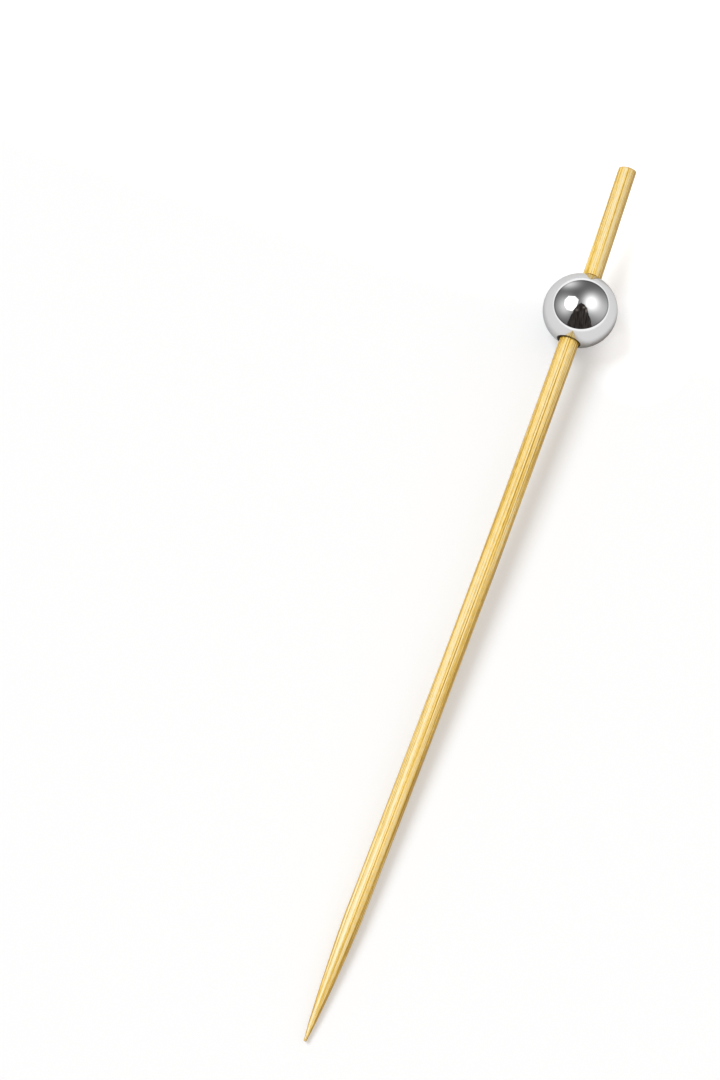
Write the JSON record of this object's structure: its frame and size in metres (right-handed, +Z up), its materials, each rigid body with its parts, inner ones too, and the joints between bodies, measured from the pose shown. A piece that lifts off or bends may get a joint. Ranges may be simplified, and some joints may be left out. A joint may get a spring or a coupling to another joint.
{
  "type": "beaded bamboo pick",
  "caption": "Round bamboo food pick with a sharpened point and a mirror-plated ball glued on near the sawn end, for holding and serving small bites.",
  "frame": {"origin": "on the table surface, under the middle of the lying pick's box", "axes": "+Z up from the table. The pick lies along Y as it comes to rest on its ball and point: the sawn end towards +Y and 6 mm up, the point towards -Y and at the table. The stick's axis rises 2.5 degrees towards +Y."},
  "size_m": [0.01, 0.125, 0.01],
  "materials": {
    "bamboo": "satin",
    "silver_plating": "polished",
    "clear_glue": "gloss"
  },
  "bodies": {
    "root": {"bamboo_stick": "bamboo", "plated_bead": "silver_plating", "glue_ring": "clear_glue"}
  },
  "joints": []
}
